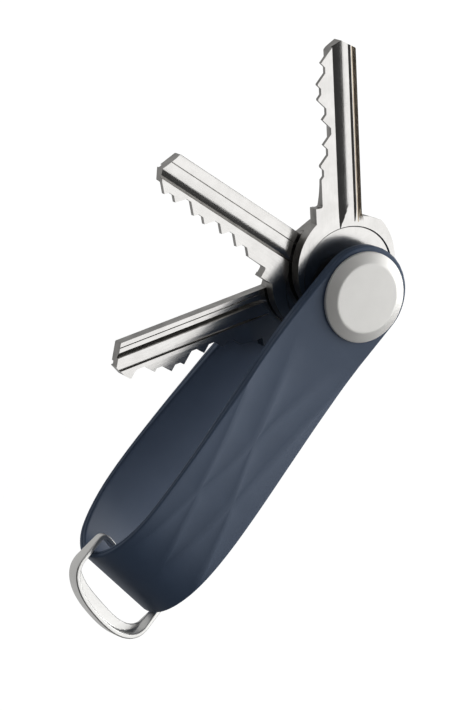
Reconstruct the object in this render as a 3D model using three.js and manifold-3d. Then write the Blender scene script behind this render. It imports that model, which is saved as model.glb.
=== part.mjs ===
// Key organiser: an elastomer band folded into a flat loop, clamped at its open end by a two-part
// screw post that carries three fanned-out keys, with a D-ring held in the loop's closed end.
//
// Millimetres. The origin is the middle of the front cap's flat face, +Z leaves that face along the
// screw post, and +X runs along the band towards the D-ring.
import * as THREE from 'three';
import { mergeVertices } from 'three/addons/utils/BufferGeometryUtils.js';
import Module from 'manifold-3d';

const wasm = await Module();
wasm.setup();

const degrees = THREE.MathUtils.degToRad;
const smooth = THREE.MathUtils.smoothstep;

// ---------------------------------------------------------------- driving dimensions

const BAND_WIDTH = 19.5;
const BAND_WAIST = 19; // width where the band turns round the D-ring
const WAIST_FROM = 50; // the sides start to draw in here
const WAIST_TO = 69;
const BAND_THICK = 2.3; // under the screws
const BAND_THIN = 1.45; // round the bend
const THIN_FROM = 14;
const THIN_TO = 58;
const BAND_END = 0.3; // how far the round ends' centre lies behind the post
const BAND_STEPS = 52; // chords along the curved outer face
const STRAIGHT_TO = 10; // the band lies flat under the screws up to here

// The band's outer face from one strap, round the bend, to the other: distance from the post along
// +X, and height above the front strap's face at the post.
const BAND_CURVE = [
  [10, 0], [16, 0.35], [24, 1.35], [34, 2.75], [46, 4.4], [55, 5.1], [62, 4.85], [67.7, 3],
  [71.4, -0.3], [72.6, -4.9], [71.2, -8.6], [67.6, -12.1], [61, -14.95], [52, -16.25], [41, -16.65],
  [30, -16.5], [20, -16.15], [10, -15.8],
];

const CAP_RADIUS = 9;
const CAP_HEIGHT = 1.6;
const CAP_FLAT = 6.8; // radius of the flat face inside the bevel
const CAP_LIP = 0.6; // height of the straight rim under the bevel
const CAP_ROUND = 0.25; // height of the rounding between bevel and rim
const COIN_SLOT_WIDTH = 1.7;
const COIN_SLOT_DEPTH = 0.9;

const POST_RADIUS = 2.6;
const THREAD_BORE = 1.9;
const THREAD_RADIUS = 1.75;
const THREAD_CHAMFER = 0.5;
const POST_LENGTH = 12; // from the front strap's face to the end of the barrel
const BORE_START = 2;
const THREAD_END = 3.5; // how close the screw's tip comes to the front strap's face
const LOCK_RING = [1.85, 2.5];
const LOCK_RING_HEIGHT = 1.1;
const EYELET = [2.75, 3.3];
const EYELET_HOLE = 3.45;
const SLEEVE = [2.7, 3.1];
const WASHER = [3.2, 7];
const SPACER = [3.2, 5.6];
const WAVE_HEIGHT = 0.15; // half the height of the wave washer's waves
const WAVE_THICK = 0.3;
const WAVES = 3;
const LAYER_GAP = 0.05; // between neighbours in the stack on the post

const KEY_THICK = 2.3;
const KEY_HOLE = 3.2;
const BOW_RADIUS = 11.4;
const BOW_CENTRE = 5.3; // from the hole's centre, along the blade
const SHOULDER = [17.6, 6.7]; // the stop at the root of the blade: distance and height
const FIRST_CUT = 24.3;
const CUT_PITCH = 3.97;
const CUT_FLAT = 1.2;
const CUT_SLOPE = 0.97; // rise of a cut's flank per millimetre along the blade
const TIP_BACK = [1.9, 1.2]; // how far the tip's lower and upper corners lie behind its point
const TIP_HEIGHT = [-0.4, 1.7]; // heights of the tip's point and of its upper corner
const GROOVE_START = 13;
const GROOVE_DEPTH = 0.65;

// Each key: the way it points, the heights of its spine and of its uncut edge, its length from the
// hole, the height left at each cut from bow to tip, and its grooves as [from, to, face].
const KEYS = [
  {
    name: 'key_1', turn: -130.5, spine: -3.7, edge: 5.2, length: 49.4,
    cuts: [4.6, 3.5, 2.6, 3.5, 4.5, 3.4],
    grooves: [[0.3, 1.6, 1], [-4.5, -2.4, 1], [-1.7, -0.5, -1], [3.4, 6, -1]],
  },
  {
    name: 'key_2', turn: -78.6, spine: -4.5, edge: 4.7, length: 48.5,
    cuts: [3.4, 2.6, 2.4, 3.1, 1.9, 2.7],
    grooves: [[0.1, 1.2, 1], [-2.9, -1.6, 1], [-1.1, -0.4, -1], [3, 6, -1]],
  },
  {
    name: 'key_3', turn: -31.9, spine: -4.7, edge: 4.9, length: 49.3,
    cuts: [3.3, 2.4, 2.4, 3.8, 3.1, 1.5],
    grooves: [[0.2, 1.3, 1], [-3.1, -1.9, 1], [-1.3, -0.5, -1], [2.8, 6, -1]],
  },
];

// What sits on the post between the two straps, from front to back, with its thickness.
const STACK = [
  ['front_washer', 0.5], ['wave_washer', 0.7], ['front_spacer', 1.3], ['key_1', KEY_THICK],
  ['key_washer_1', 0.45], ['key_2', KEY_THICK], ['key_washer_2', 0.45], ['key_3', KEY_THICK],
  ['rear_washer', 0.4],
];

const RING_PLACE = [68, 0.3, -3.4]; // the bar's outer side, from the post and the strap's face
const RING_YAW = -6;
const RING_LIFT = 4.5;
const RING_HALF = 10.9; // half the width over the arms
const RING_CORNER = 1.8;
const RING_ARM = 6.4;
const RING_BOW = 6.1; // how far the bow reaches past the arms
const RING_SQUARE = 2.4; // above 2 the bow's ellipse is squarer
const RING_WALL = 0.95;
const RING_BAR_HEIGHT = 1.75;
const RING_BOW_HEIGHT = 2.9;
const RING_FOOT = 0.65; // thickness at the inner edge
const RING_BAR_FOOT = 1; // how far the foot reaches in from the outer wall: at the bar,
const RING_ARM_FOOT = 1.2; // at the end of the arms
const RING_BOW_FOOT = 3.4; // and in the middle of the bow
const RING_BOW_STEPS = 28;

// ---------------------------------------------------------------- materials

const elastomer = new THREE.MeshStandardMaterial({ color: 0x3c4656, roughness: 0.75, metalness: 0 });
const capMetal = new THREE.MeshStandardMaterial({ color: 0xd5d2cc, roughness: 0.4, metalness: 0.8 });
const ringMetal = new THREE.MeshStandardMaterial({ color: 0xc4c4be, roughness: 0.35, metalness: 1 });
const keyMetal = new THREE.MeshStandardMaterial({ color: 0xb4b0aa, roughness: 0.3, metalness: 1 });
const plastic = new THREE.MeshStandardMaterial({ color: 0x24262a, roughness: 0.6, metalness: 0 });
const spring = new THREE.MeshStandardMaterial({ color: 0x9a9c9e, roughness: 0.35, metalness: 1 });

// ---------------------------------------------------------------- helpers

function toSolid(geometry) {
  const bare = geometry.index ? geometry.toNonIndexed() : geometry.clone();
  bare.deleteAttribute('normal');
  bare.deleteAttribute('uv');
  const merged = mergeVertices(bare, 1e-4);
  return new wasm.Manifold(new wasm.Mesh({
    numProp: 3,
    vertProperties: new Float32Array(merged.attributes.position.array),
    triVerts: new Uint32Array(merged.index.array),
  }));
}

function toGeometry(solid) {
  const mesh = solid.getMesh();
  const geometry = new THREE.BufferGeometry();
  geometry.setAttribute('position', new THREE.BufferAttribute(mesh.vertProperties, 3));
  geometry.setIndex(new THREE.BufferAttribute(mesh.triVerts, 1));
  geometry.computeVertexNormals();
  return geometry;
}

function named(name, geometry, material) {
  const mesh = new THREE.Mesh(geometry, material);
  mesh.name = name;
  return mesh;
}

// A body of revolution about Z. The profile's points are [radius, height], with the solid on the
// left of the way they run.
function turned(profile, sides = 48) {
  const points = profile.map(([radius, height]) => new THREE.Vector2(radius, height));
  return new THREE.LatheGeometry(points, sides).rotateX(Math.PI / 2);
}

// A plain ring from height 0 down to -thick.
function ringGeometry([inner, outer], thick, sides = 32) {
  return turned([[inner, 0], [inner, -thick], [outer, -thick], [outer, 0], [inner, 0]], sides);
}

function cylinder(radius, from, to, sides = 32) {
  return new THREE.CylinderGeometry(radius, radius, to - from, sides)
    .rotateX(Math.PI / 2)
    .translate(0, 0, (from + to) / 2);
}

function extrude(shape, thick, curveSegments = 24) {
  return new THREE.ExtrudeGeometry(shape, { depth: thick, bevelEnabled: false, curveSegments });
}

// Height of a given depth below the front strap's outer face.
const atDepth = (depth) => -CAP_HEIGHT - depth;

// Depth of each layer's front face, and of the rear strap's inner face.
const layerDepth = {};
let depthSoFar = BAND_THICK;
for (const [name, thick] of STACK) {
  depthSoFar += LAYER_GAP;
  layerDepth[name] = depthSoFar;
  depthSoFar += thick;
}
const REAR_STRAP = depthSoFar + LAYER_GAP;
const REAR_FACE = REAR_STRAP + BAND_THICK;

// ---------------------------------------------------------------- band

function bandThickness(x) {
  return THREE.MathUtils.lerp(BAND_THICK, BAND_THIN, smooth(x, THIN_FROM, THIN_TO));
}

// The band's section along its length, in X and height.
function bandProfile() {
  const curve = new THREE.SplineCurve(BAND_CURVE.map(([x, height]) => new THREE.Vector2(x, height)));
  const back = -BAND_END - BAND_WIDTH / 2 - 0.2;
  const outer = [new THREE.Vector2(back, 0)];
  const inner = [new THREE.Vector2(back, -BAND_THICK)];
  for (let i = 0; i <= BAND_STEPS; i += 1) {
    const point = curve.getPoint(i / BAND_STEPS);
    const along = curve.getTangent(i / BAND_STEPS);
    const flat = point.x <= STRAIGHT_TO;
    const inward = flat ? new THREE.Vector2(0, i ? 1 : -1) : new THREE.Vector2(along.y, -along.x);
    outer.push(point);
    inner.push(point.clone().addScaledVector(inward, bandThickness(point.x)));
  }
  outer.push(new THREE.Vector2(back, -REAR_FACE));
  inner.push(new THREE.Vector2(back, -REAR_STRAP));
  return new THREE.Shape([...outer, ...inner.reverse()]);
}

// The band seen from the front: round at the post, drawn in at the bend.
function bandPlan() {
  const half = BAND_WIDTH / 2;
  const waist = BAND_WAIST / 2;
  const middle = (WAIST_FROM + WAIST_TO) / 2;
  const tip = WAIST_TO + 10;
  const plan = new THREE.Shape();
  plan.moveTo(WAIST_FROM, half);
  plan.lineTo(-BAND_END, half);
  plan.absarc(-BAND_END, 0, half, Math.PI / 2, 1.5 * Math.PI, false);
  plan.lineTo(WAIST_FROM, -half);
  plan.bezierCurveTo(middle, -half, middle, -waist, WAIST_TO, -waist);
  plan.lineTo(tip, -waist);
  plan.lineTo(tip, waist);
  plan.lineTo(WAIST_TO, waist);
  plan.bezierCurveTo(middle, waist, middle, half, WAIST_FROM, half);
  return plan;
}

function makeBand() {
  const profile = extrude(bandProfile(), BAND_WIDTH + 1)
    .rotateX(Math.PI / 2)
    .translate(0, (BAND_WIDTH + 1) / 2, -CAP_HEIGHT);
  const plan = extrude(bandPlan(), 40, 14).translate(0, 0, -30);
  const hole = cylinder(EYELET_HOLE, -30, 5);
  const solid = toSolid(profile).intersect(toSolid(plan)).subtract(toSolid(hole));
  return named('band', toGeometry(solid), elastomer);
}

// ---------------------------------------------------------------- screw post

// The bevelled side that both caps share, from the flat face's edge to the underside.
const capSide = [
  [CAP_FLAT, 0],
  [CAP_RADIUS - CAP_ROUND, CAP_LIP + CAP_ROUND - CAP_HEIGHT],
  [CAP_RADIUS, CAP_LIP - CAP_HEIGHT],
  [CAP_RADIUS, LAYER_GAP - CAP_HEIGHT],
];

function makeFrontCap() {
  const profile = [
    [0, 0], ...capSide, [POST_RADIUS, LAYER_GAP - CAP_HEIGHT], [POST_RADIUS, atDepth(POST_LENGTH)],
    [THREAD_BORE, atDepth(POST_LENGTH)], [THREAD_BORE, atDepth(BORE_START)], [0, atDepth(BORE_START)],
  ];
  return named('front_cap', turned(profile.reverse()), capMetal);
}

function makeRearScrew() {
  const head = atDepth(REAR_FACE) - CAP_HEIGHT; // height of its flat face
  const shoulder = POST_LENGTH + LOCK_RING_HEIGHT + 2 * LAYER_GAP;
  const profile = [
    [0, head],
    ...capSide.map(([radius, height]) => [radius, head - height]),
    [POST_RADIUS, head + CAP_HEIGHT - LAYER_GAP],
    [POST_RADIUS, atDepth(shoulder)],
    [THREAD_RADIUS, atDepth(shoulder)],
    [THREAD_RADIUS, atDepth(THREAD_END + THREAD_CHAMFER)],
    [THREAD_RADIUS - THREAD_CHAMFER, atDepth(THREAD_END)],
    [0, atDepth(THREAD_END)],
  ];
  const slot = new THREE.BoxGeometry(2.5 * CAP_RADIUS, COIN_SLOT_WIDTH, 2 * COIN_SLOT_DEPTH)
    .translate(0, 0, head);
  const solid = toSolid(turned(profile)).subtract(toSolid(slot));
  return named('rear_screw', toGeometry(solid), capMetal);
}

function makeLockRing() {
  const ring = named('lock_ring', ringGeometry(LOCK_RING, LOCK_RING_HEIGHT), plastic);
  ring.position.z = atDepth(POST_LENGTH + LAYER_GAP);
  return ring;
}

function makeEyelet(name, depth) {
  const eyelet = named(name, ringGeometry(EYELET, BAND_THICK), spring);
  eyelet.position.z = atDepth(depth);
  return eyelet;
}

function makeSleeve() {
  const from = BAND_THICK + LAYER_GAP;
  const sleeve = named('post_sleeve', ringGeometry(SLEEVE, REAR_STRAP - LAYER_GAP - from), plastic);
  sleeve.position.z = atDepth(from);
  return sleeve;
}

// ---------------------------------------------------------------- layers on the post

function waveWasherGeometry(thick) {
  const geometry = ringGeometry(SPACER, WAVE_THICK, 48);
  const places = geometry.attributes.position;
  for (let i = 0; i < places.count; i += 1) {
    const angle = Math.atan2(places.getY(i), places.getX(i));
    const rise = WAVE_HEIGHT * Math.cos(WAVES * angle);
    places.setZ(i, places.getZ(i) + rise - (thick - WAVE_THICK) / 2);
  }
  return geometry;
}

const layerGeometry = {
  front_washer: (thick) => ringGeometry(WASHER, thick),
  wave_washer: waveWasherGeometry,
  front_spacer: (thick) => ringGeometry(SPACER, thick),
  key_washer_1: (thick) => ringGeometry(WASHER, thick),
  key_washer_2: (thick) => ringGeometry(WASHER, thick),
  rear_washer: (thick) => ringGeometry(WASHER, thick),
};

function makeLayers() {
  return STACK.filter(([name]) => name in layerGeometry).map(([name, thick]) => {
    const material = name === 'wave_washer' ? spring : plastic;
    const layer = named(name, layerGeometry[name](thick), material);
    layer.position.z = atDepth(layerDepth[name]);
    return layer;
  });
}

// ---------------------------------------------------------------- keys

// The cut edge's corners from the tip back to the shoulder. Each cut has a flat root and two flanks
// that run on until they meet the next cut's flank or the uncut edge.
function cutEdge(key) {
  const points = [];
  let last = { u: key.length - TIP_BACK[1], height: TIP_HEIGHT[1] };
  points.push([last.u, last.height]);
  for (let i = key.cuts.length - 1; i >= 0; i -= 1) {
    const middle = FIRST_CUT + i * CUT_PITCH;
    const root = { u: middle + CUT_FLAT / 2, height: key.cuts[i] };
    const fall = (last.height - root.height) / CUT_SLOPE;
    const meet = (last.u + root.u + fall) / 2;
    const peak = last.height + CUT_SLOPE * (last.u - meet);
    if (peak <= key.edge) {
      points.push([meet, peak]);
    } else {
      points.push([last.u - (key.edge - last.height) / CUT_SLOPE, key.edge]);
      points.push([root.u + (key.edge - root.height) / CUT_SLOPE, key.edge]);
    }
    last = { u: middle - CUT_FLAT / 2, height: root.height };
    points.push([root.u, root.height], [last.u, last.height]);
  }
  points.push([last.u - (key.edge - last.height) / CUT_SLOPE, key.edge]);
  return points;
}

function keyShape(key) {
  const [shoulder, top] = SHOULDER;
  const bowAngle = (height) => Math.asin(height / BOW_RADIUS);
  const shape = new THREE.Shape();
  shape.moveTo(key.length - TIP_BACK[0], key.spine);
  shape.lineTo(key.length, TIP_HEIGHT[0]);
  for (const [u, height] of cutEdge(key)) shape.lineTo(u, height);
  shape.lineTo(shoulder, key.edge);
  shape.lineTo(shoulder, top);
  shape.absarc(BOW_CENTRE, 0, BOW_RADIUS, bowAngle(top), 2 * Math.PI + bowAngle(key.spine), false);
  shape.holes.push(new THREE.Path().absarc(0, 0, KEY_HOLE, 0, 2 * Math.PI, true));
  return shape;
}

function makeKey(key) {
  let solid = toSolid(extrude(keyShape(key), KEY_THICK, 20).translate(0, 0, -KEY_THICK));
  for (const [from, to, face] of key.grooves) {
    const length = key.length + 5 - GROOVE_START;
    const groove = new THREE.BoxGeometry(length, to - from, 2 * GROOVE_DEPTH)
      .translate(GROOVE_START + length / 2, (from + to) / 2, face > 0 ? 0 : -KEY_THICK);
    solid = solid.subtract(toSolid(groove));
  }
  const mesh = named(key.name, toGeometry(solid), keyMetal);
  mesh.position.z = atDepth(layerDepth[key.name]);
  mesh.rotation.z = degrees(key.turn);
  return mesh;
}

// ---------------------------------------------------------------- D-ring

// One station of the ring: its outer wall's place, the way inwards, how far the foot reaches in and
// how high the wall is. The ring lies in its own XY plane with the bar on Y and the bow towards +X.
function ringStation(point, inward, foot, height) {
  return { point, inward, foot, height };
}

function ringHalfStations() {
  const stations = [];
  const bow = RING_ARM + RING_BOW;
  stations.push(ringStation([0, 0], [1, 0], RING_BAR_FOOT, RING_BAR_HEIGHT));
  for (let i = 0; i <= 4; i += 1) {
    const angle = (i / 4) * (Math.PI / 2);
    const inward = [Math.cos(angle), -Math.sin(angle)];
    const point = [RING_CORNER * (1 - inward[0]), RING_HALF - RING_CORNER * (1 + inward[1])];
    stations.push(ringStation(point, inward, RING_BAR_FOOT, RING_BAR_HEIGHT));
  }
  for (let i = 0; i <= RING_BOW_STEPS; i += 1) {
    const angle = (i / RING_BOW_STEPS) * (Math.PI / 2);
    const [across, along] = [Math.cos(angle), Math.sin(angle)];
    const power = 2 / RING_SQUARE;
    const point = [RING_ARM + RING_BOW * along ** power, RING_HALF * across ** power];
    const toCentre = new THREE.Vector2(RING_ARM - 3 - point[0], -point[1] * 0.55).normalize();
    const inward = i ? toCentre.toArray() : [0, -1];
    const foot = THREE.MathUtils.lerp(RING_ARM_FOOT, RING_BOW_FOOT, (point[0] - RING_ARM) / RING_BOW);
    stations.push(ringStation(point, inward, foot, RING_BOW_HEIGHT));
  }
  stations[stations.length - 1] = ringStation([bow, 0], [-1, 0], RING_BOW_FOOT, RING_BOW_HEIGHT);
  return stations;
}

// The section at a station: an upright wall whose inner face slopes down to a foot.
function ringSection({ point, inward, foot, height }) {
  const place = (reach, z) => [point[0] + inward[0] * reach, point[1] + inward[1] * reach, z];
  const half = height / 2;
  return [
    place(0, -half), place(0, half), place(RING_WALL, half),
    place(foot, RING_FOOT - half), place(foot, -half),
  ];
}

function makeDRing() {
  const right = ringHalfStations();
  const mirror = ({ point, inward, foot, height }) => (
    ringStation([point[0], -point[1]], [inward[0], -inward[1]], foot, height)
  );
  const left = right.slice(1, -1).reverse().map(mirror);
  const sections = [...right, ...left].map(ringSection);
  const corners = sections[0].length;
  const index = [];
  sections.forEach((section, i) => {
    const next = (i + 1) % sections.length;
    for (let j = 0; j < corners; j += 1) {
      const k = (j + 1) % corners;
      const [a, b] = [i * corners + j, i * corners + k];
      const [c, d] = [next * corners + k, next * corners + j];
      index.push(a, b, c, a, c, d);
    }
  });
  const geometry = new THREE.BufferGeometry();
  geometry.setAttribute('position', new THREE.Float32BufferAttribute(sections.flat(2), 3));
  geometry.setIndex(index);
  geometry.computeVertexNormals();
  const ring = named('d_ring', geometry, ringMetal);
  const [x, y, height] = RING_PLACE;
  ring.position.set(x, y, height - CAP_HEIGHT);
  ring.rotation.set(0, degrees(-RING_LIFT), degrees(RING_YAW), 'ZYX');
  return ring;
}

// ---------------------------------------------------------------- assembly

const organiser = new THREE.Group();
organiser.add(
  makeBand(),
  makeFrontCap(),
  makeRearScrew(),
  makeLockRing(),
  makeEyelet('front_eyelet', 0),
  makeEyelet('rear_eyelet', REAR_STRAP),
  makeSleeve(),
  ...makeLayers(),
  ...KEYS.map(makeKey),
  makeDRing(),
);

export default organiser;
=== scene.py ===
"""Key organiser: the looks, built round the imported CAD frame.

Sizes are in millimetres in the frame's own axes: the origin is the middle of the front cap's flat
face, +Z leaves that face and +X runs along the band to the D-ring. MM turns them into metres.
"""

import functools
import math

import bmesh
import bpy
import numpy as np
from mathutils import Matrix, Vector


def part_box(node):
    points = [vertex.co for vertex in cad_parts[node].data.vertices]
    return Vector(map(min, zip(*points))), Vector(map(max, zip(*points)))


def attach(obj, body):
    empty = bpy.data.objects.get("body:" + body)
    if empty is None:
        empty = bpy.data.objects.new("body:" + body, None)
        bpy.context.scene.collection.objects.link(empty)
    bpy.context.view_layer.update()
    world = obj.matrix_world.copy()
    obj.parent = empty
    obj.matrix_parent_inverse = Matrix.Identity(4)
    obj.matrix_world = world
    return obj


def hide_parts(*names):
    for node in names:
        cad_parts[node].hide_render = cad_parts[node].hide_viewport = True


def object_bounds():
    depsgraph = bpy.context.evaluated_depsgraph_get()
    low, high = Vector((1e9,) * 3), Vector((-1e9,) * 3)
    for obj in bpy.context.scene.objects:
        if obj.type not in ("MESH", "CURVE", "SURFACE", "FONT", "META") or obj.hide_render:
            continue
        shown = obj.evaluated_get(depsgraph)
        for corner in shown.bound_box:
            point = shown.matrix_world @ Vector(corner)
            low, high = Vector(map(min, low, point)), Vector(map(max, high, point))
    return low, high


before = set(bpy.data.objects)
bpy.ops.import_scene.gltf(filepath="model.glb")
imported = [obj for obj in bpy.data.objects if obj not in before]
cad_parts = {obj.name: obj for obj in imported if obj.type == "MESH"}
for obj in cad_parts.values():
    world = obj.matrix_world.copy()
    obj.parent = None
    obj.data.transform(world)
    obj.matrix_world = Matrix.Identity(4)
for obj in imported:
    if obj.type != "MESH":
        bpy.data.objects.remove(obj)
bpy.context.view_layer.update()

MM = 0.001

# ---------------------------------------------------------------- driving dimensions

CAP_RADIUS = 9
CAP_HEIGHT = 1.6
CAP_FLAT = 6.8  # where the face would meet the bevel
CAP_LIP = 0.7  # height of the upright edge below the bevel
CAP_SOFT = 1.6  # radius between the face and the bevel
CAP_EDGE_ROUND = 0.3
CAP_FOOT_ROUND = 0.12
GAP = 0.05  # between neighbours on the post
COIN_SLOT_WIDTH = 1.7
COIN_SLOT_DEPTH = 0.9
COIN_SLOT_ROUND = 0.25
COIN_SLOT_REACH = 1.3 * CAP_RADIUS

# Depths along the post count from the front strap's outer face.
POST_RADIUS = 2.6
POST_LENGTH = 12  # depth where the front cap's barrel ends
POST_ROOT_ROUND = 0.1
POST_END_ROUND = 0.15
BORE_RADIUS = 1.9
BORE_START = 2
THREAD_RADIUS = 1.75
THREAD_PITCH = 1.0
THREAD_DEPTH = 0.25
THREAD_CREST = (0.45, 0.55)  # where a thread's crest lies, as shares of the pitch
THREAD_END = 3.5
THREAD_PLAIN = 0.4  # plain shank below the first thread
TIP_CHAMFER = 0.3
LOCK_RING_HEIGHT = 1.1

MOST_ROUND = 0.45  # a ring's edges are rounded by at most this share of its height and width
WAVES = 3
WAVE_HEIGHT = 0.14
WAVE_THICK = 0.28
WAVE_ROUND = 0.08
WAVE_SIDES = 120  # mesh sections round the washer

BAND_WIDTH = 19.5
BAND_WAIST = 19  # width between the arms of the D-ring
WAIST_FROM = 50
WAIST_TO = 69
BAND_THICK = 2.3  # at the post
BAND_THIN = 1.45  # round the bend
THIN_FROM = 14
THIN_TO = 58
BAND_END = 0.3  # the strap's round end is centred this far behind the post
STRAIGHT_TO = 10  # the straps are flat from their ends to here
EYELET_HOLE = 3.45
REAR_FACE = 15.8  # depth of the rear strap's outer face below the front strap's
RIM_ROUND = 0.36  # radius of the band's edges
SEAM_HALF = 0.13  # half the width of the mould seam along the band's edge
SEAM_DEPTH = 0.14

# The band's outer face from one strap, round the bend, to the other: distance from the post, and
# height above the front strap's face at the post.
BAND_CURVE = [
    (10, 0), (16, 0.35), (24, 1.35), (34, 2.75), (46, 4.4), (55, 5.1), (62, 4.85), (67.7, 3),
    (71.4, -0.3), (72.6, -4.9), (71.2, -8.6), (67.6, -12.1), (61, -14.95), (52, -16.25),
    (41, -16.65), (30, -16.5), (20, -16.15), (10, -15.8),
]

# The four ridges that cross each strap's face, as distance from the post and distance across.
RIDGES = [
    [(12, -6.8), (21, -4.1), (31, -1.3), (38, 0.1), (46, 2.9), (54, 5.5), (66, 9.6)],
    [(20, -11), (30, -9), (38, -7), (50, -4.6), (59, -2.2), (68, 1.2)],
    [(10, 7.4), (21, 3.8), (30, 0.9), (36, -0.4), (44, -2.4), (50, -4.5), (60, -6.4), (68, -7.8)],
    [(18, 8.9), (28, 7.2), (36, 5.8), (44, 4.1), (54, 2.4), (68, -0.4)],
]
RIDGE_SLOPE = 0.16  # slope of the face where it meets a ridge
RIDGE_BEYOND = 3  # the outermost hollows run on this far past the strap's sides
RIDGE_FADE = [(10, 26), (60, 70)]  # the ridges rise out of the face and sink back into it here
RIDGE_SPACE = 0.35  # least distance kept between neighbouring columns of the mesh

KEY_THICK = 2.3
KEY_HOLE = 3.2
KEY_EDGE_ROUND = 0.09
BOW_RADIUS = 11.4
BOW_CENTRE = 5.3
DISH_CENTRE = 3.9  # of the bow's sunk middle
DISH_HALF = (9.1, 10.1)  # its half length and half width
DISH_SINK = 0.25  # depth of the dish and width of its sloping wall
BOW_BACK = 10.9  # the bow's half width on the spine's side
BOW_END = 12.9  # where the bow's arc ends on the spine's side
NECK = (14.1, -5.4)  # the corner between the bow and the spine
NECK_RUN = 0.4  # from the neck's corner to the spine
NECK_ROUND = 0.4
SPINE_ROUND = 0.3
TIP_ROUND = 0.2
SHOULDER = (17.6, 6.7)
SHOULDER_ROUND = (0.35, 0.45)  # radius at the foot of the shoulder and at its top
FIRST_CUT = 24.3
CUT_PITCH = 3.97
CUT_FLAT = 1.2
CUT_SLOPE = 0.97
TIP_BACK = (1.9, 1.2)  # how far the tip slopes back on the spine's side and on the cut side
TIP_HEIGHT = (-0.4, 1.7)  # the tip's point, and where the cut side starts

# Cross-sections of the grooves milled along a blade: distance across the groove and depth, both as
# shares of its width and of its full depth.
SAW = [(0, 0), (0.3, 0.5), (0.62, 0.86), (0.9, 1), (0.97, 1), (1, 0)]
VEE = [(0, 0), (0.2, 0.05), (0.4, 0.18), (0.6, 0.4), (0.78, 0.68), (0.94, 1), (1, 0)]
FLAT = [(0, 0), (0.1, 1), (0.9, 1), (1, 0)]
STEP = [(0, 0), (0.04, 1), (1, 1)]
CHAMFER = [(0, 1), (0.5, 0.42), (1, 0)]
RIBBED = [
    (0, 1), (0.12, 0.3), (0.24, 1), (0.36, 0.3), (0.48, 1), (0.6, 0.3), (0.72, 1), (0.9, 1), (1, 0),
]

# Each key: its name, which its body shares, the way it points in degrees, the heights of its spine
# and of its uncut edge, its length, the height left at each cut from bow to tip, and its grooves as
# (from, to, depth, face, cross-section, where the cutter leaves the blade). The face is 1 in front
# and -1 at the back.
KEYS = [
    {
        "name": "key_1", "turn": -130.5, "spine": -3.7, "edge": 5.2, "length": 49.4,
        "cuts": [4.6, 3.5, 2.6, 3.5, 4.5, 3.4],
        "grooves": [
            (-1.2, 1.65, 0.8, 1, VEE, 12.6), (-2.45, -1.85, 0.4, 1, SAW, 13.5),
            (-3.9, -2.55, 0.2, 1, RIBBED, 13.5), (-1.7, -0.5, 0.5, -1, FLAT, 17),
            (2.2, 6, 1.5, -1, STEP, 17),
        ],
    },
    {
        "name": "key_2", "turn": -78.6, "spine": -4.5, "edge": 4.7, "length": 48.5,
        "cuts": [3.4, 2.6, 2.4, 3.1, 1.9, 2.7],
        "grooves": [
            (-1.4, 1.25, 0.75, 1, VEE, 10.5), (-2.45, -2.25, 0.12, 1, SAW, 12),
            (-5.4, -3.4, 0.6, 1, CHAMFER, 12), (-1.1, -0.4, 0.6, -1, FLAT, 17),
            (1.7, 6, 1.3, -1, STEP, 17),
        ],
    },
    {
        "name": "key_3", "turn": -31.9, "spine": -4.7, "edge": 4.9, "length": 49.3,
        "cuts": [3.3, 2.4, 2.4, 3.8, 3.1, 1.5],
        "grooves": [
            (-0.35, 0.75, 0.6, 1, FLAT, 15), (-2.9, -1.9, 0.6, 1, SAW, 15),
            (-3.9, -3.7, 0.15, 1, SAW, 15),
            (1.55, 6, 0.75, 1, STEP, 19.5), (-1.3, -0.5, 0.6, -1, FLAT, 17),
        ],
    },
]

RING_PLACE = (68, 0.3, -5)  # the outer middle of the D-ring's bar
RING_YAW = -6
RING_LIFT = 4.5
RING_HALF = 10.9  # half the length of the bar
RING_CORNER = 1.8
RING_ARM = 6.4  # from the bar to where the bow starts
RING_BOW = 6.1  # how far the bow reaches past the arms
RING_SQUARE = 2.4  # power of the bow's superellipse
RING_WALL = 0.95
RING_BAR_HEIGHT = 1.75
RING_BOW_HEIGHT = 2.9
RING_FOOT = 0.65  # thickness of the flange at the wall's foot
RING_BAR_FOOT = 1  # how far the section reaches inwards at the bar
RING_ARM_FOOT = 1.2
RING_BOW_FOOT = 3.4
RING_HOLLOW = 0.5  # radius between the wall and the flange
RING_HOLLOW_SHARE = 0.62  # the most of the flange or wall that the hollow's radius may take
RING_DRAFT = (0.1, 0.05)  # the wall's foot leans in and the flange's root rises by this much
RING_ROUNDS = {"wall_foot": 0.3, "wall_top": 0.28, "wall_inside": 0.22, "flange": 0.2}
RING_FOCUS = 3  # the bow's section points to a place this far on the bar's side of the arms' ends
RING_FOCUS_SHARE = 0.55


# ---------------------------------------------------------------- camera

CAMERA_PLACE = (114.6, -297.0, 435.9)
CAMERA_RIGHT = (-0.62055, 0.59496, 0.51082)
CAMERA_FORWARD = (-0.16807, 0.53537, -0.82773)
CAMERA_LENS = 141.8
CAMERA_RANGE = (0.01, 20)


def make_camera():
    data = bpy.data.cameras.new("camera")
    data.lens = CAMERA_LENS
    data.clip_start, data.clip_end = CAMERA_RANGE
    camera = bpy.data.objects.new("camera", data)
    bpy.context.scene.collection.objects.link(camera)
    right = Vector(CAMERA_RIGHT).normalized()
    forward = Vector(CAMERA_FORWARD).normalized()
    up = right.cross(forward).normalized()
    right = forward.cross(up)
    turn = Matrix((right, up, -forward)).transposed().to_4x4()
    camera.matrix_world = Matrix.Translation(Vector(CAMERA_PLACE) * MM) @ turn
    bpy.context.scene.camera = camera


make_camera()


# ---------------------------------------------------------------- curves and numbers

def smoothstep(x, start, end):
    t = np.clip((x - start) / (end - start), 0, 1)
    return t * t * (3 - 2 * t)


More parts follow.
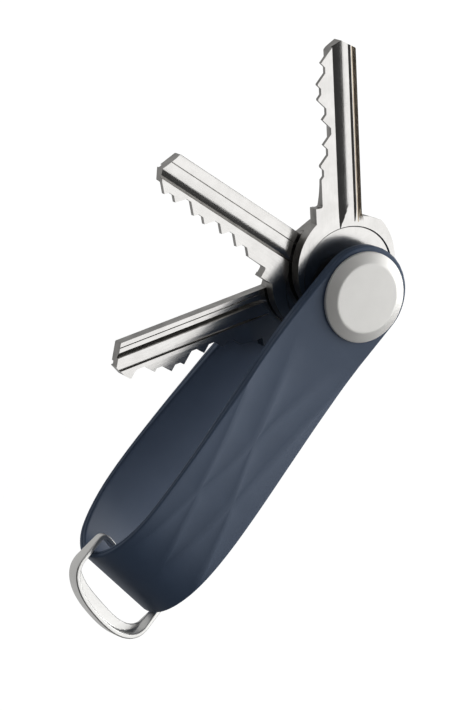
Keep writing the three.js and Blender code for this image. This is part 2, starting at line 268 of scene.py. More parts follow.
def through(points, t):
    """The smooth curve through a list of points at t from 0 to 1, and its direction there."""
    points = np.array(points, float)
    place = t * (len(points) - 1)
    i = min(int(place), len(points) - 2)
    w = place - i
    p1, p2 = points[i], points[i + 1]
    p0 = points[i - 1] if i else p1
    p3 = points[i + 2] if i + 2 < len(points) else p2
    v1, v2 = (p2 - p0) / 2, (p3 - p1) / 2
    a, b = 2 * (p1 - p2) + v1 + v2, 3 * (p2 - p1) - 2 * v1 - v2
    return ((a * w + b) * w + v1) * w + p1, (3 * a * w + 2 * b) * w + v1


def filleted(corners, steps=5, closed=True):
    """A polyline of (x, y, radius) corners with each corner rounded by an arc."""
    points = []
    count = len(corners)
    for i, (x, y, radius) in enumerate(corners):
        at = Vector((x, y))
        if radius <= 0 or (not closed and i in (0, count - 1)):
            points.append((x, y))
            continue
        before = (Vector(corners[i - 1][:2]) - at).normalized()
        after = (Vector(corners[(i + 1) % count][:2]) - at).normalized()
        half = before.angle(after) / 2
        reach = radius / math.tan(half)
        start, end = at + before * reach, at + after * reach
        centre = at + (before + after).normalized() * (radius / math.sin(half))
        first, last = start - centre, end - centre
        sweep = first.angle_signed(last)
        for k in range(steps + 1):
            spoke = first.copy()
            spoke.rotate(Matrix.Rotation(-sweep * k / steps, 2))
            points.append(tuple(centre + spoke))
    return points


# ---------------------------------------------------------------- mesh helpers

AXIS = 0.01  # radius that stands for the axis in a turned profile, in millimetres
SAME_PLACE = 0.001  # vertices closer than this, in millimetres, are one
CUTTER_TOP = 5  # height of the round cutters' top, above all that they cut
CLEAR = 1.0  # how far other cutters stand proud of what they cut
CREASE = 40  # edges sharper than this, in degrees, stay crisp under smooth shading
CAP_CREASE = 32
RING_CREASE = 50
BEVEL_ANGLE = 28  # edges sharper than this, in degrees, are rounded
BEVEL_SEGMENTS = 2
NORMAL_WEIGHT = 80  # how strongly broad faces set the shading


def new_piece(name, vertices, faces):
    """A mesh object from millimetre vertices, with its faces turned outwards."""
    mesh = bpy.data.meshes.new(name)
    mesh.from_pydata([Vector(v) * MM for v in vertices], [], faces)
    tidy = bmesh.new()
    tidy.from_mesh(mesh)
    bmesh.ops.remove_doubles(tidy, verts=tidy.verts, dist=SAME_PLACE * MM)
    bmesh.ops.recalc_face_normals(tidy, faces=tidy.faces)
    tidy.to_mesh(mesh)
    tidy.free()
    piece = bpy.data.objects.new(name, mesh)
    bpy.context.scene.collection.objects.link(piece)
    return piece


def skin(sections, closed_path=False):
    """Faces that join each closed section's points to the next section's."""
    count = len(sections[0])
    faces = []
    for i in range(len(sections) - (0 if closed_path else 1)):
        following = (i + 1) % len(sections)
        for j in range(count):
            k = (j + 1) % count
            faces.append(
                (i * count + j, i * count + k, following * count + k, following * count + j)
            )
    return faces


def turned(name, profile, sides=144):
    """A body of revolution about Z. profile is a closed run of (radius, height)."""
    sections = []
    for i in range(sides):
        angle = 2 * math.pi * i / sides
        sections.append([
            (radius * math.cos(angle), radius * math.sin(angle), height)
            for radius, height in profile
        ])
    vertices = [point for section in sections for point in section]
    return new_piece(name, vertices, skin(sections, closed_path=True))


def hole_cutter(radius, bottom, sides):
    """A round bar along Z."""
    profile = [(AXIS, CUTTER_TOP), (radius, CUTTER_TOP), (radius, bottom), (AXIS, bottom)]
    return turned("hole", profile, sides)


def bake(piece):
    """Applies the modifiers to the mesh."""
    graph = bpy.context.evaluated_depsgraph_get()
    mesh = bpy.data.meshes.new_from_object(piece.evaluated_get(graph))
    piece.modifiers.clear()
    piece.data = mesh


def cut(piece, *cutters):
    """Takes each cutter out of the piece and deletes the cutter."""
    for cutter in cutters:
        modifier = piece.modifiers.new("cut", "BOOLEAN")
        modifier.operation = "DIFFERENCE"
        modifier.solver = "EXACT"
        modifier.object = cutter
        bake(piece)
        bpy.data.objects.remove(cutter)


def shade(piece, angle=CREASE):
    """Smooth shading that keeps edges sharper than angle crisp."""
    piece.data.shade_smooth()
    piece.data.set_sharp_from_angle(angle=math.radians(angle))


def soften(piece, width):
    """Rounds the sharp edges slightly and shades the broad faces flat."""
    bevel = piece.modifiers.new("edges", "BEVEL")
    bevel.width = width * MM
    bevel.segments = BEVEL_SEGMENTS
    bevel.limit_method = "ANGLE"
    bevel.angle_limit = math.radians(BEVEL_ANGLE)
    bevel.harden_normals = False
    bake(piece)
    shade(piece)
    weighted = piece.modifiers.new("shading", "WEIGHTED_NORMAL")
    weighted.keep_sharp = True
    weighted.weight = NORMAL_WEIGHT
    bake(piece)


def finish_piece(piece, body, slot, material, *nodes):
    """Gives a piece its material and its body, and hides the CAD nodes that it stands for."""
    if material is not None:
        piece.data.materials.clear()
        piece.data.materials.append(material)
    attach(piece, body)
    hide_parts(*nodes)


# ---------------------------------------------------------------- materials

NOISE_SPAN = (0.3, 0.7)  # the part of the noise's 0 to 1 that most of it falls in


class Nodes:
    """Short calls for building a material's nodes."""

    def __init__(self, name):
        self.material = bpy.data.materials.new(name)
        self.material.use_nodes = True
        self.tree = self.material.node_tree
        self.shader = self.tree.nodes["Principled BSDF"]

    def add(self, kind, inputs=None):
        """A node of a kind, with each named input set to a value or fed from a socket."""
        node = self.tree.nodes.new(kind)
        for key, value in (inputs or {}).items():
            self.feed(node.inputs[key], value)
        return node

    def feed(self, socket, value):
        if isinstance(value, bpy.types.NodeSocket):
            self.tree.links.new(value, socket)
        else:
            socket.default_value = value

    def place(self, scale=(1, 1, 1), turn=0):
        """Object coordinates in millimetres, turned back by turn degrees, then stretched."""
        where = self.add("ShaderNodeTexCoord").outputs["Object"]
        back = (0, 0, -math.radians(turn))
        where = self.add("ShaderNodeMapping", {"Vector": where, "Rotation": back})
        size = tuple(s / MM for s in scale)
        where = where.outputs["Vector"]
        return self.add("ShaderNodeMapping", {"Vector": where, "Scale": size}).outputs["Vector"]

    def noise(self, where, scale, detail=3.0, rough=0.5):
        inputs = {"Vector": where, "Scale": scale, "Detail": detail, "Roughness": rough}
        return self.add("ShaderNodeTexNoise", inputs).outputs["Fac"]

    def spread(self, value, low, high):
        """A noise value turned into one from low to high."""
        start, end = NOISE_SPAN
        inputs = {
            "Value": value, "From Min": start, "From Max": end, "To Min": low, "To Max": high,
        }
        return self.add("ShaderNodeMapRange", inputs).outputs["Result"]

    def tint(self, value, dark, light):
        """A colour between two, by a noise value."""
        ramp = self.add("ShaderNodeValToRGB", {"Fac": value})
        for stop, position, colour in zip(ramp.color_ramp.elements, NOISE_SPAN, (dark, light)):
            stop.position = position
            stop.color = (*colour, 1)
        return ramp.outputs["Color"]

    def bump(self, height, distance):
        inputs = {"Height": height, "Distance": distance * MM, "Strength": 1.0}
        return self.add("ShaderNodeBump", inputs).outputs["Normal"]

    def finish(self, **inputs):
        """Sets the shader's inputs, named with _ for a space, and gives the material."""
        for key, value in inputs.items():
            self.feed(self.shader.inputs[key.replace("_", " ")], value)
        return self.material


def elastomer():
    """Matt navy moulded elastomer with a fine spark-eroded grain."""
    n = Nodes("elastomer")
    grain = n.noise(n.place(), scale=6.0, detail=4.0, rough=0.6)
    cloud = n.noise(n.place(), scale=0.12, detail=2.0)
    return n.finish(
        Base_Color=n.tint(cloud, dark=(0.060, 0.093, 0.158), light=(0.068, 0.104, 0.173)),
        Roughness=n.spread(grain, low=0.44, high=0.54), Normal=n.bump(grain, distance=0.012),
        Metallic=0.0, Specular_IOR_Level=0.36,
    )


def satin_metal(name, dark, light, low, high, metallic, grain_size=9.0, depth=0.004):
    """Bead-blasted plated metal: a soft sheen over a very fine grain."""
    n = Nodes(name)
    grain = n.noise(n.place(), scale=grain_size, rough=0.6)
    cloud = n.noise(n.place(), scale=0.25, detail=2.0)
    return n.finish(
        Base_Color=n.tint(cloud, dark, light), Metallic=metallic,
        Roughness=n.spread(grain, low, high), Normal=n.bump(grain, depth),
    )


def brushed_metal(name, dark, light, low, high, stretch, depth, turn=0):
    """Metal with fine lines along the direction that lies turn degrees from X."""
    n = Nodes(name)
    lines = n.noise(n.place(stretch, turn), scale=1.0, detail=4.0, rough=0.65)
    cloud = n.noise(n.place(), scale=0.35, detail=2.0)
    return n.finish(
        Base_Color=n.tint(cloud, dark, light), Metallic=1.0,
        Roughness=n.spread(lines, low, high), Normal=n.bump(lines, depth),
    )


def moulded_plastic():
    """Dark acetal, slightly glossy."""
    n = Nodes("moulded_plastic")
    grain = n.noise(n.place(), scale=5.0)
    cloud = n.noise(n.place(), scale=0.5, detail=2.0)
    return n.finish(
        Base_Color=n.tint(cloud, dark=(0.012, 0.013, 0.016), light=(0.018, 0.019, 0.022)),
        Roughness=n.spread(grain, low=0.36, high=0.48), Normal=n.bump(grain, distance=0.004),
        Metallic=0.0,
    )


BAND = elastomer()
CAP = satin_metal(
    "cap_satin", dark=(0.88, 0.87, 0.84), light=(0.91, 0.90, 0.87), low=0.42, high=0.50,
    metallic=0.4,
)
RING = satin_metal(
    "ring_satin", dark=(0.76, 0.755, 0.735), light=(0.80, 0.795, 0.775), low=0.28, high=0.34,
    metallic=0.8, grain_size=7.0, depth=0.0012,
)
STEEL = brushed_metal(
    "spring_steel", dark=(0.50, 0.50, 0.50), light=(0.60, 0.60, 0.60), low=0.22, high=0.36,
    stretch=(2, 2, 6), depth=0.004,
)
PLASTIC = moulded_plastic()


# ---------------------------------------------------------------- band

CURVE_ROWS = 210
FLAT_ROWS = 8
END_ROWS = 10
COLUMNS_BETWEEN = 6  # mesh columns between two neighbouring ridges
RIM_STEPS = 4
NEWTON_STEPS = 30
BISECT_STEPS = 24
LEAST_SLOPE = 0.2  # keeps Newton's steps short where the curve is nearly level
LEAST_SPAN = 0.01  # keeps two ridges that meet from dividing by zero


def band_half_width(x):
    """Half the band's width at a distance from the post. The side is a cubic Bezier S-curve whose
    handles are half its length, so its parameter s is found from x by Newton's method."""
    t = np.clip((x - WAIST_FROM) / (WAIST_TO - WAIST_FROM), 0, 1)
    s = 0.5
    for _ in range(NEWTON_STEPS):
        s -= (1.5 * s * (1 - s) + s ** 3 - t) / max(1.5 - 3 * s + 3 * s * s, LEAST_SLOPE)
        s = min(max(s, 0), 1)
    blend = s * s * (3 - 2 * s)
    return BAND_WIDTH / 2 + (BAND_WAIST - BAND_WIDTH) / 2 * blend


def band_thickness(x):
    return BAND_THICK + (BAND_THIN - BAND_THICK) * float(smoothstep(x, THIN_FROM, THIN_TO))


@functools.cache
def ridge_across(number, x):
    """How far across the strap a ridge lies at x."""
    ridge = RIDGES[number]
    xs = [point[0] for point in ridge]
    place = float(np.clip(x, xs[0], xs[-1]))
    i = min(max(int(np.searchsorted(xs, place)) - 1, 0), len(xs) - 2)
    low, high = i / (len(xs) - 1), (i + 1) / (len(xs) - 1)
    for _ in range(BISECT_STEPS):
        middle = (low + high) / 2
        if through(ridge, middle)[0][0] < place:
            low = middle
        else:
            high = middle
    return float(through(ridge, low)[0][1])


def ridge_places(x, half):
    """The ridges' places across the strap at x, from one side to the other, kept apart."""
    places = sorted(ridge_across(number, x) for number in range(len(RIDGES)))
    for i, place in enumerate(places):
        lowest = (i + 1) * RIDGE_SPACE - half
        highest = half - (len(places) - i) * RIDGE_SPACE
        places[i] = min(max(place, lowest), highest)
        if i and places[i] < places[i - 1] + RIDGE_SPACE:
            places[i] = places[i - 1] + RIDGE_SPACE
    return places


def columns_across(x, half):
    """Places across the strap for the mesh's columns, one of them on each ridge."""
    stops = [-half, *ridge_places(x, half), half]
    columns = []
    for start, end in zip(stops, stops[1:]):
        for k in range(COLUMNS_BETWEEN):
            columns.append(start + (end - start) * k / COLUMNS_BETWEEN)
    columns.append(half)
    return columns


def relief(x, y, half):
    """How far the strap's face lies below its ridges: a shallow hollow between each two."""
    (rise_from, rise_to), (fall_from, fall_to) = RIDGE_FADE
    strength = smoothstep(x, rise_from, rise_to) * (1 - smoothstep(x, fall_from, fall_to))
    if strength <= 0:
        return 0.0
    ridges = sorted(ridge_across(number, x) for number in range(len(RIDGES)))
    stops = [-half - RIDGE_BEYOND, *ridges, half + RIDGE_BEYOND]
    for start, end in zip(stops, stops[1:]):
        if start <= y <= end:
            span = max(end - start, LEAST_SPAN)
            return float(strength) * RIDGE_SLOPE * (y - start) * (end - y) / span
    return 0.0


def band_rows():
    """Rows of the outer face from one end to the other: distance from the post, height, the
    direction out of the face, and, past the post, how far the row is round the strap's end."""
    rows = []
    for front in (True, False):
        z = 0 if front else -REAR_FACE
        out = (0, 1) if front else (0, -1)
        ends = [(-BAND_END, z, out, 1 - k / END_ROWS) for k in range(END_ROWS)]
        span = STRAIGHT_TO + BAND_END
        flats = [(-BAND_END + span * k / FLAT_ROWS, z, out, 0) for k in range(FLAT_ROWS)]
        if front:
            rows += ends + flats
            for k in range(CURVE_ROWS + 1):
                place, along = through(BAND_CURVE, k / CURVE_ROWS)
                normal = np.array([-along[1], along[0]]) / np.hypot(*along)
                if place[0] <= STRAIGHT_TO:  # at both ends the curve joins a flat strap
                    normal = (0, 1) if k == 0 else (0, -1)
                rows.append((place[0], place[1], tuple(normal), 0))
        else:
            rows += flats[::-1] + ends[::-1]
    return rows


def end_point(share, y, half):
    """A point on the strap's round end: a square patch drawn into the half disc."""
    quarter = math.pi / 4
    t = (y / half + 1) / 2

    def on_arc(angle):
        return np.array([-BAND_END - half * math.cos(angle), half * math.sin(angle)])

    start = np.array([-BAND_END, y])
    finish = on_arc(quarter * y / half)
    left = on_arc(-2 * quarter + share * quarter)
    right = on_arc(2 * quarter - share * quarter)
    corners = (1 - share) * ((1 - t) * on_arc(-2 * quarter) + t * on_arc(2 * quarter))
    corners += share * ((1 - t) * on_arc(-quarter) + t * on_arc(quarter))
    return (1 - share) * start + share * finish + (1 - t) * left + t * right - corners


def band_grid(shrink):
    """The plan of the band's face, drawn in by shrink at the sides: rows of (x, y, row)."""
    grid = []
    for row in band_rows():
        x, _, _, share = row
        half = float(band_half_width(x)) - shrink
        line = []
        for y in columns_across(max(x, STRAIGHT_TO), half):
            px, py = end_point(share, y, half) if share else (x, y)
            line.append((px, py, row))
        grid.append(line)
    return grid


def band_point(px, py, row, drop):
    """A point drop below the outer face, relief included."""
    x, height, out, _ = row
    thick = band_thickness(x)
    half = float(band_half_width(x))
    sunk = relief(x, py, half) * max(0.0, 1 - drop / thick)
    depth = drop + sunk
    return (px - out[0] * depth, py, height - out[1] * depth - CAP_HEIGHT)


def rim_stations(thick):
    """From the outer face's edge round to the inner face's: how far out, as a share of the
    rounding's radius, and how far below the outer face. A fine seam runs along the middle."""
    round_over = []
    for k in range(1, RIM_STEPS + 1):
        angle = math.pi / 2 * k / RIM_STEPS
        round_over.append((math.sin(angle), RIM_ROUND * (1 - math.cos(angle))))
    seam = [(1, thick / 2 - SEAM_HALF), (1 - SEAM_DEPTH / RIM_ROUND, thick / 2)]
    seam.append((1, thick / 2 + SEAM_HALF))
    return round_over + seam + [(reach, thick - drop) for reach, drop in round_over[::-1]]


def make_band():
    """Two faces a wall's thickness apart, joined all round by the rounded rim."""
    grid = band_grid(RIM_ROUND)
    outline = band_grid(0)
    rows, columns = len(grid), len(grid[0])
    vertices = []
    for inner in (False, True):
        for line in grid:
            for px, py, row in line:
                drop = band_thickness(row[0]) if inner else 0
                vertices.append(band_point(px, py, row, drop))
    faces = []
    for side in (0, rows * columns):
        for i in range(rows - 1):
            for j in range(columns - 1):
                a = side + i * columns + j
                faces.append((a, a + 1, a + columns + 1, a + columns))
    border = [(0, j) for j in range(columns)]
    border += [(i, columns - 1) for i in range(1, rows)]
    border += [(rows - 1, j) for j in range(columns - 2, -1, -1)]
    border += [(i, 0) for i in range(rows - 2, 0, -1)]
    loops = [[i * columns + j for i, j in border]]
    for k in range(len(rim_stations(BAND_THICK))):
        loop = []
        for i, j in border:
            near, far = np.array(grid[i][j][:2]), np.array(outline[i][j][:2])
            row = grid[i][j][2]
            reach, drop = rim_stations(band_thickness(row[0]))[k]
            place = near + (far - near) * reach
            loop.append(len(vertices))
            vertices.append(band_point(place[0], place[1], row, drop))
        loops.append(loop)
    loops.append([rows * columns + i * columns + j for i, j in border])
    for near, far in zip(loops, loops[1:]):
        for k in range(len(border)):
            m = (k + 1) % len(border)
            faces.append((near[k], near[m], far[m], far[k]))
    piece = new_piece("band_strap", vertices, faces)
    cut(piece, hole_cutter(EYELET_HOLE, bottom=-30, sides=72))
    shade(piece)
    finish_piece(piece, "band", "band", BAND, "band")


make_band()


# ---------------------------------------------------------------- caps and post

CAP_STEPS = 8  # steps round each rounded corner


def cap_profile():
    """From the middle of the flat face out over the bevel and down to the underside."""
    return [
        (AXIS, 0, 0), (CAP_FLAT, 0, CAP_SOFT), (CAP_RADIUS, CAP_LIP - CAP_HEIGHT, CAP_EDGE_ROUND),
        (CAP_RADIUS, GAP - CAP_HEIGHT, CAP_FOOT_ROUND),
    ]


def depth(distance):
    """Height of a given depth below the front strap's outer face."""
    return -CAP_HEIGHT - distance


def make_front_cap():
    corners = cap_profile() + [
        (POST_RADIUS, GAP - CAP_HEIGHT, POST_ROOT_ROUND),
        (POST_RADIUS, depth(POST_LENGTH), POST_END_ROUND),
        (BORE_RADIUS, depth(POST_LENGTH), POST_END_ROUND), (BORE_RADIUS, depth(BORE_START), 0),
        (AXIS, depth(BORE_START), 0),
    ]
    piece = turned("front_cap_turned", filleted(corners, CAP_STEPS, closed=False))
    shade(piece, CAP_CREASE)
    finish_piece(piece, "band", "cap_metal", CAP, "front_cap")


def slot_cutter(low, high):
    """A bar across the cap's face, with rounded edges at the slot's floor."""
    half = COIN_SLOT_WIDTH / 2
    section = filleted([
        (-half, low, 0), (half, low, 0), (half, high, COIN_SLOT_ROUND),
        (-half, high, COIN_SLOT_ROUND),
    ])
    slot = [[(x, y, z) for y, z in section] for x in (-COIN_SLOT_REACH, COIN_SLOT_REACH)]
    count = len(section)
    faces = skin(slot) + [tuple(range(count)), tuple(range(count, 2 * count))]
    return new_piece("slot", slot[0] + slot[1], faces)


def make_rear_screw():
    head = depth(REAR_FACE) - CAP_HEIGHT
    shoulder = depth(POST_LENGTH + LOCK_RING_HEIGHT + 2 * GAP)
    tip = depth(THREAD_END)
    corners = [(radius, head - height, size) for radius, height, size in cap_profile()]
    corners += [
        (POST_RADIUS, head + CAP_HEIGHT - GAP, POST_ROOT_ROUND),
        (POST_RADIUS, shoulder, POST_END_ROUND), (THREAD_RADIUS, shoulder, 0),
    ]
    profile = filleted(corners, CAP_STEPS, closed=False)
    for k in range(int((tip - shoulder) / THREAD_PITCH - 1)):
        foot = shoulder + THREAD_PLAIN + k * THREAD_PITCH
        profile.append((THREAD_RADIUS - THREAD_DEPTH, foot))
        for share in THREAD_CREST:
            profile.append((THREAD_RADIUS, foot + THREAD_PITCH * share))
    profile += [
        (THREAD_RADIUS - TIP_CHAMFER, tip - TIP_CHAMFER), (THREAD_RADIUS - 2 * TIP_CHAMFER, tip),
        (AXIS, tip),
    ]
    piece = turned("rear_screw_turned", profile)
    cut(piece, slot_cutter(head - CLEAR, head + COIN_SLOT_DEPTH))
    shade(piece, CAP_CREASE)
    finish_piece(piece, "rear_screw", "cap_metal", CAP, "rear_screw")


make_front_cap()
make_rear_screw()


# ---------------------------------------------------------------- layers on the post

def ring_of(node):
    """Inner and outer radius, top and bottom of a round CAD node, in millimetres."""
    low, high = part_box(node)
    places = [v.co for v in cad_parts[node].data.vertices]
    inner = min(math.hypot(v.x, v.y) for v in places) / MM
    return inner, high.x / MM, high.z / MM, low.z / MM


def make_ring(node, body, slot, material, rounding):
    """A flat ring with rounded edges in place of a CAD ring."""
    inner, outer, top, bottom = ring_of(node)
    size = min(rounding, (top - bottom) * MOST_ROUND, (outer - inner) * MOST_ROUND)
    corners = [
        (inner, top, size), (outer, top, size), (outer, bottom, size), (inner, bottom, size),
    ]
    piece = turned(node + "_ring", filleted(corners, steps=4), sides=96)
    shade(piece)
    finish_piece(piece, body, slot, material, node)


def make_layers():
    for node in ("front_washer", "front_spacer", "key_washer_1", "key_washer_2", "rear_washer"):
        make_ring(node, "band", "dark_polymer", PLASTIC, rounding=0.12)
    make_ring("post_sleeve", "band", "dark_polymer", PLASTIC, rounding=0.08)
    make_ring("lock_ring", "lock_ring", "dark_polymer", PLASTIC, rounding=0.3)
    for node in ("front_eyelet", "rear_eyelet"):
        make_ring(node, "band", "spring_steel", STEEL, rounding=0.15)


def make_wave_washer():
    """The spring washer that keeps the stack tight, waved three times round."""
    inner, outer, top, bottom = ring_of("wave_washer")
    middle = (top + bottom) / 2
    half = WAVE_THICK / 2
    profile = filleted([
        (inner, half, WAVE_ROUND), (outer, half, WAVE_ROUND), (outer, -half, WAVE_ROUND),
        (inner, -half, WAVE_ROUND),
    ], steps=3)
    sections = []
    for i in range(WAVE_SIDES):
        angle = 2 * math.pi * i / WAVE_SIDES
        rise = middle + WAVE_HEIGHT * math.cos(WAVES * angle)
        sections.append([
            (radius * math.cos(angle), radius * math.sin(angle), height + rise)
            for radius, height in profile
        ])
    vertices = [point for section in sections for point in section]
    piece = new_piece("wave_washer_spring", vertices, skin(sections, closed_path=True))
    shade(piece)
    finish_piece(piece, "band", "spring_steel", STEEL, "wave_washer")


make_layers()
make_wave_washer()


# ---------------------------------------------------------------- keys

BOW_STEPS = 110
CUTTER_RADIUS = 16  # of the disc that mills a groove, which sets how the groove runs out
GROOVE_STEPS = 8
GROOVE_LAST = (0.6, 1.25)  # the path's end: how far past the run-out, and how many depths high
DISH_SIDES = 96
HOLE_SIDES = 48
# Steep faces get the darker bare metal, whose darkness is partly painted shade.
EDGE_WALL = 0.5  # a face of the blank whose normal's z is smaller than this is a side wall
GROOVE_WALL = 0.6  # the same for a groove


def cut_edge(key):
    """The cut edge's corners from the tip back to the shoulder."""
    edge = key["edge"]
    last = (key["length"] - TIP_BACK[1], TIP_HEIGHT[1])
    points = [last]
    for i in range(len(key["cuts"]) - 1, -1, -1):
        middle = FIRST_CUT + i * CUT_PITCH
        root = (middle + CUT_FLAT / 2, key["cuts"][i])
        fall = (last[1] - root[1]) / CUT_SLOPE
        meet = (last[0] + root[0] + fall) / 2
        peak = last[1] + CUT_SLOPE * (last[0] - meet)
        if peak <= edge:
            points.append((meet, peak))
        else:
            points.append((last[0] - (edge - last[1]) / CUT_SLOPE, edge))
            points.append((root[0] + (edge - root[1]) / CUT_SLOPE, edge))
        last = (middle - CUT_FLAT / 2, root[1])
        points += [root, last]
    points.append((last[0] - (edge - last[1]) / CUT_SLOPE, edge))
    return points


def key_outline(key):
    """The key seen from the front, its hole at the origin and its blade along X."""
    reach, top = SHOULDER
    start = math.asin(top / BOW_RADIUS)
    end = 2 * math.pi - math.acos((BOW_END - BOW_CENTRE) / BOW_RADIUS)
    corners = [
        (BOW_END, BOW_BACK * math.sin(end), 0), (*NECK, NECK_ROUND),
        (NECK[0] + NECK_RUN, key["spine"], SPINE_ROUND),
        (key["length"] - TIP_BACK[0], key["spine"], SPINE_ROUND),
        (key["length"], TIP_HEIGHT[0], TIP_ROUND),
    ]
    corners += [(u, height, 0) for u, height in cut_edge(key)]
    corners += [(reach, key["edge"], SHOULDER_ROUND[0]), (reach, top, SHOULDER_ROUND[1])]
    points = filleted(corners, steps=4, closed=False)
    for i in range(BOW_STEPS + 1):
        angle = start + (end - start) * i / BOW_STEPS
        across = BOW_RADIUS if angle < math.pi else BOW_BACK
        points.append((BOW_CENTRE + BOW_RADIUS * math.cos(angle), across * math.sin(angle)))
    return points


def prism(name, outline, top, bottom):
    """A closed outline in XY drawn out from top to bottom."""
    count = len(outline)
    vertices = [(x, y, top) for x, y in outline] + [(x, y, bottom) for x, y in outline]
    faces = skin([outline, outline]) + [tuple(range(count)), tuple(range(count, 2 * count))]
    return new_piece(name, vertices, faces)


def groove_cutter(key, groove):
    """The path of a milling disc along the blade: full depth, then rising out near the bow."""
    start, end, deep, face, section, leaves = groove
    run_out = math.sqrt(2 * CUTTER_RADIUS * deep)
    past, lift = GROOVE_LAST
    stations = [(key["length"] + CLEAR, 0)]
    for k in range(GROOVE_STEPS + 1):
        share = k / GROOVE_STEPS
        stations.append((leaves + run_out * (1 - share), deep * share ** 2))
    stations.append((leaves - past, deep * lift))
    sections = []
    for u, rise in stations:
        line = [(start + (end - start) * share, rise - deep * part) for share, part in section]
        line += [(line[-1][0], CLEAR + rise), (line[0][0], CLEAR + rise)]
        if face > 0:
            sections.append([(u, v, w) for v, w in line])
        else:
            sections.append([(u, v, -KEY_THICK - w) for v, w in line])
    count = len(sections[0])
    last = count * (len(sections) - 1)
    faces = skin(sections) + [tuple(range(count)), tuple(range(last, last + count))]
    vertices = [point for line in sections for point in line]
    return new_piece("cutter", vertices, faces)


def dish_cutter(face):
    """The sunk middle of the bow, an oval with a sloping wall."""
    reach, across = DISH_HALF
    profile = [
        (AXIS, CLEAR), (reach, CLEAR), (reach, 0), (reach - DISH_SINK, -DISH_SINK),
        (AXIS, -DISH_SINK),
    ]
    if face < 0:
        profile = [(radius, -KEY_THICK - w) for radius, w in profile]
    cutter = turned("dish", profile, DISH_SIDES)
    widen = Matrix.Diagonal((1, across / reach, 1, 1))
    cutter.data.transform(Matrix.Translation((DISH_CENTRE * MM, 0, 0)) @ widen)
    return cutter


def key_metals(key):
    """The plated faces; the bare metal where a cutter has been, put on steep walls only, its dark
    colour partly its own and partly painted shade; and the ribbed strip's brass.
    """
    name, turn = key["name"], key["turn"]
    plated = brushed_metal(
        name + "_nickel", dark=(0.57, 0.56, 0.545), light=(0.63, 0.62, 0.605), low=0.15,
        high=0.25, stretch=(0.3, 6, 6), depth=0.003, turn=turn,
    )
    # Darker than the plating partly as bare metal and partly as painted shade on the steep walls it
    # goes on.
    milled_painted_shade = brushed_metal(
        name + "_milled", dark=(0.25, 0.245, 0.235), light=(0.38, 0.37, 0.355), low=0.24,
        high=0.40, stretch=(0.5, 9, 9), depth=0.012, turn=turn,
    )
    brass = brushed_metal(
        name + "_brass", dark=(0.44, 0.375, 0.29), light=(0.64, 0.56, 0.45), low=0.24,
        high=0.40, stretch=(1.2, 9, 9), depth=0.012, turn=turn,
    )
    return plated, milled_painted_shade, brass


PLATED, MILLED_PAINTED_SHADE, BRASS = range(3)  # their places in a key's list of materials


def make_key(key):
    """A stamped blank with its bow sunk on both faces, then the grooves cut along its blade by a
    milling disc.
    """
    piece = prism(key["name"] + "_blade", key_outline(key), 0, -KEY_THICK)
    metals = key_metals(key)
    for metal in metals:
        piece.data.materials.append(metal)
    for polygon in piece.data.polygons:
        # Steep side walls take the darker bare metal: partly painted shade.
        polygon.material_index = MILLED_PAINTED_SHADE if abs(polygon.normal.z) < EDGE_WALL else PLATED
    hole = hole_cutter(KEY_HOLE, bottom=-10, sides=HOLE_SIDES)
    cut(piece, hole, dish_cutter(1), dish_cutter(-1))
    for groove in key["grooves"]:
        cutter = groove_cutter(key, groove)
        for metal in metals:
            cutter.data.materials.append(metal)
        for polygon in cutter.data.polygons:
            # Steep groove walls take the darker bare metal and groove floors stay plated: partly
            # painted shade.
            polygon.material_index = MILLED_PAINTED_SHADE if abs(polygon.normal.z) < GROOVE_WALL else PLATED
            if groove[4] is RIBBED:
                polygon.material_index = BRASS
        cut(piece, cutter)
    soften(piece, KEY_EDGE_ROUND)
    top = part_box(key["name"])[1].z
    turn = Matrix.Rotation(math.radians(key["turn"]), 4, "Z")
    piece.data.transform(Matrix.Translation((0, 0, top)) @ turn)
    finish_piece(piece, key["name"], "key_metal", None, key["name"])


for key in KEYS:
    make_key(key)


# ---------------------------------------------------------------- D-ring

RING_BOW_STEPS = 64
RING_CORNER_STEPS = 12


def ring_half():
    """Stations along one half of the ring: the outer wall's place, the way inwards, how far the
    foot reaches in, and how high the wall is."""
    stations = [((0, 0), (1, 0), RING_BAR_FOOT, RING_BAR_HEIGHT)]
    for i in range(RING_CORNER_STEPS + 1):
        angle = math.pi / 2 * i / RING_CORNER_STEPS
        inward = (math.cos(angle), -math.sin(angle))
        place = (RING_CORNER * (1 - inward[0]), RING_HALF - RING_CORNER * (1 + inward[1]))
        stations.append((place, inward, RING_BAR_FOOT, RING_BAR_HEIGHT))
    for i in range(1, RING_BOW_STEPS + 1):
        angle = math.pi / 2 * i / RING_BOW_STEPS
        power = 2 / RING_SQUARE
        place = (
            RING_ARM + RING_BOW * math.sin(angle) ** power,
            RING_HALF * max(math.cos(angle), 0) ** power,
        )
        inward = Vector((
            RING_ARM - RING_FOCUS - place[0], -place[1] * RING_FOCUS_SHARE,
        )).normalized()
        share = (place[0] - RING_ARM) / RING_BOW
        foot = RING_ARM_FOOT + (RING_BOW_FOOT - RING_ARM_FOOT) * share
        stations.append((place, tuple(inward), foot, RING_BOW_HEIGHT))
    stations[-1] = ((RING_ARM + RING_BOW, 0), (-1, 0), RING_BOW_FOOT, RING_BOW_HEIGHT)
    return stations


def ring_section(station):
    """The section: an upright wall with a thin flange at its foot and a hollow between them."""
    place, inward, foot, height = station
    half = height / 2
    hollow = min(
        RING_HOLLOW, RING_HOLLOW_SHARE * (foot - RING_WALL),
        RING_HOLLOW_SHARE * (height - RING_FOOT),
    )
    lean, rise = RING_DRAFT
    corners = [
        (0, -half, RING_ROUNDS["wall_foot"]), (0, half, RING_ROUNDS["wall_top"]),
        (RING_WALL, half, RING_ROUNDS["wall_inside"]),
        (RING_WALL + lean, RING_FOOT - half + rise, hollow),
        (foot, RING_FOOT - half, RING_ROUNDS["flange"]), (foot, -half, RING_ROUNDS["flange"]),
    ]
    return [
        (place[0] + inward[0] * reach, place[1] + inward[1] * reach, z)
        for reach, z in filleted(corners)
    ]


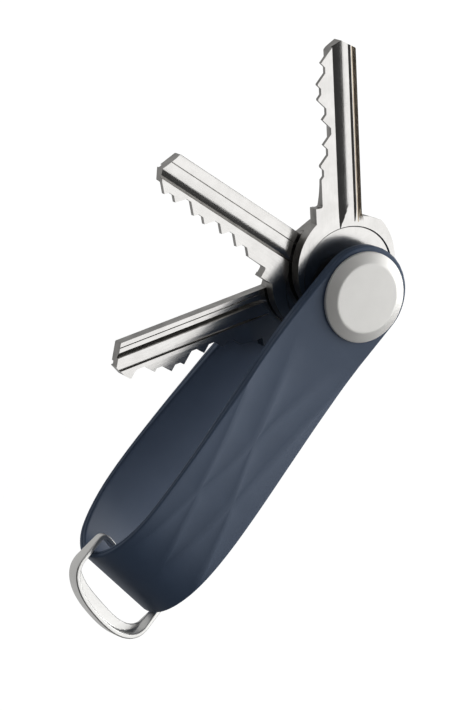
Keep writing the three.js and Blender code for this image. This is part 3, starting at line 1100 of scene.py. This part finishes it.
def make_d_ring():
    right = ring_half()
    left = [
        ((place[0], -place[1]), (inward[0], -inward[1]), foot, height)
        for place, inward, foot, height in right[1:-1][::-1]
    ]
    sections = [ring_section(station) for station in right + left]
    vertices = [point for section in sections for point in section]
    piece = new_piece("d_ring_loop", vertices, skin(sections, closed_path=True))
    turn = Matrix.Rotation(math.radians(RING_YAW), 4, "Z")
    lift = Matrix.Rotation(math.radians(-RING_LIFT), 4, "Y")
    piece.data.transform(Matrix.Translation(Vector(RING_PLACE) * MM) @ turn @ lift)
    shade(piece, RING_CREASE)
    finish_piece(piece, "d_ring", "ring_metal", RING, "d_ring")


make_d_ring()


# ---------------------------------------------------------------- floor and lights

FLOOR_DROP = 9  # the floor lies this far down, so that the screw stays above it when it is out
FLOOR_REACH = 12.0  # metres from the middle to each side
LIGHT_TARGET = (0.03, 0, -0.01)  # the middle of the band, in metres

# Brightness of the surroundings from straight down (0) to straight up (1).
SKY = [(0, 0.6), (0.4, 0.5), (0.5, 0.14), (0.62, 0.05), (1, 0.05)]


def make_floor():
    """A pale floor that shines by its own light, so that its tone is even."""
    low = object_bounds()[0]
    reach = FLOOR_REACH
    mesh = bpy.data.meshes.new("floor")
    corners = [(-reach, -reach), (reach, -reach), (reach, reach), (-reach, reach)]
    mesh.from_pydata([(x, y, low.z - FLOOR_DROP * MM) for x, y in corners], [], [(0, 1, 2, 3)])
    floor = bpy.data.objects.new("floor", mesh)
    bpy.context.scene.collection.objects.link(floor)
    n = Nodes("floor_paper")
    floor.data.materials.append(n.finish(
        Base_Color=(0.1, 0.1, 0.1, 1), Roughness=0.9, Specular_IOR_Level=0.0,
        Emission_Color=(1, 1, 1, 1), Emission_Strength=0.99,
    ))
    floor.visible_diffuse = False
    floor.visible_glossy = False


def make_light(name, place, size, power):
    """A soft rectangular light that faces the middle of the band. All in metres and watts."""
    data = bpy.data.lights.new(name, "AREA")
    data.shape = "RECTANGLE"
    data.size, data.size_y = size
    data.energy = power
    light = bpy.data.objects.new(name, data)
    bpy.context.scene.collection.objects.link(light)
    target = Vector(LIGHT_TARGET)
    light.location = target + Vector(place)
    light.rotation_euler = (target - light.location).to_track_quat("-Z", "Y").to_euler()


def make_lights():
    make_light("top_softbox", place=(-0.26, 0.48, 0.57), size=(0.72, 0.72), power=2.3)
    make_light("side_softbox", place=(-0.58, 0.46, 0.18), size=(0.7, 0.34), power=3.4)
    make_light("edge_strip", place=(-0.12, -0.50, 0.42), size=(0.6, 0.10), power=0.35)


def make_surroundings():
    """Grey surroundings whose brightness goes by height, as SKY says."""
    world = bpy.data.worlds.new("studio")
    world.use_nodes = True
    nodes, links = world.node_tree.nodes, world.node_tree.links
    where = nodes.new("ShaderNodeTexCoord")
    split = nodes.new("ShaderNodeSeparateXYZ")
    ramp = nodes.new("ShaderNodeValToRGB")
    share = nodes.new("ShaderNodeMapRange")
    share.inputs["From Min"].default_value = -1
    links.new(where.outputs["Generated"], split.inputs["Vector"])
    links.new(split.outputs["Z"], share.inputs["Value"])
    links.new(share.outputs["Result"], ramp.inputs["Fac"])
    links.new(ramp.outputs["Color"], nodes["Background"].inputs["Color"])
    stops = ramp.color_ramp.elements
    for stop, (place, level) in zip(stops, (SKY[0], SKY[-1])):
        stop.position = place
        stop.color = (level, level, level, 1)
    for place, level in SKY[1:-1]:
        stops.new(place).color = (level, level, level, 1)
    nodes["Background"].inputs["Strength"].default_value = 1
    bpy.context.scene.world = world
    bpy.context.scene.view_settings.view_transform = "Standard"


make_floor()
make_lights()
make_surroundings()

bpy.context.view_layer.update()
